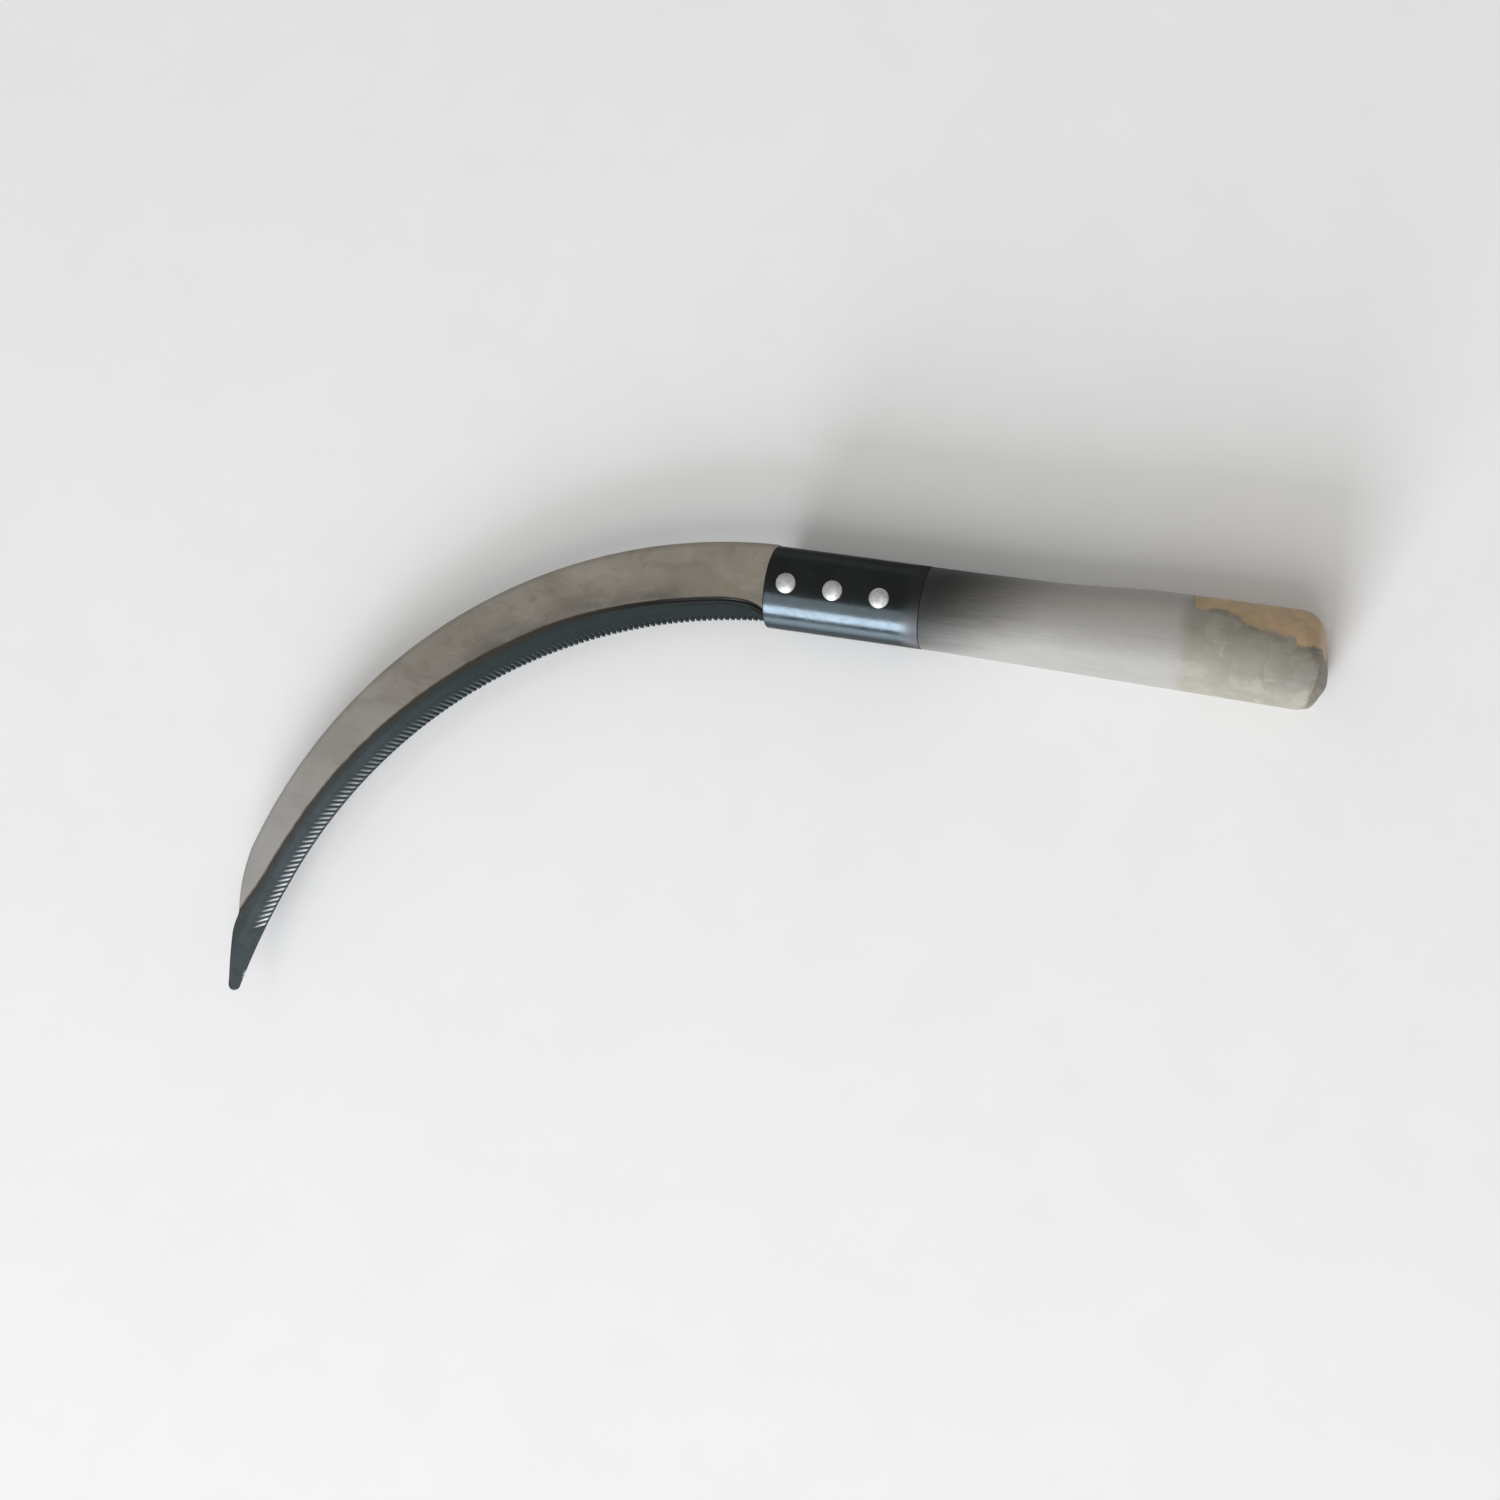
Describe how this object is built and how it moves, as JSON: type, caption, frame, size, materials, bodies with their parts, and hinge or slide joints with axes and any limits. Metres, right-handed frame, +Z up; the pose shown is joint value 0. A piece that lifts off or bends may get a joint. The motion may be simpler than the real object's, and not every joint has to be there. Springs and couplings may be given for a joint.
{
  "type": "hand sickle",
  "caption": "Crescent blade with a fine saw-toothed inner edge, its flat tang riveted through a tube ferrule into a straight round wooden handle.",
  "frame": {"origin": "centre of the flat butt end of the handle, on the handle's axis", "axes": "+X out of the butt along the handle's axis, +Y towards the blade's spine, +Z up out of the blade's toothed face; the sickle lies on its side with the blade in the XY plane"},
  "size_m": [0.3629, 0.1828, 0.0326],
  "materials": {
    "blade_steel": "dull warm grey, blued along the toothed band",
    "handle_wood": "weathered grey, stained black next to the ferrule",
    "ferrule_steel": "gloss blue-black",
    "rivet_metal": "matte"
  },
  "bodies": {
    "root": {"blade": "blade_steel", "handle": "handle_wood", "ferrule": "ferrule_steel", "front_rivet": "rivet_metal", "middle_rivet": "rivet_metal", "rear_rivet": "rivet_metal"}
  },
  "joints": []
}
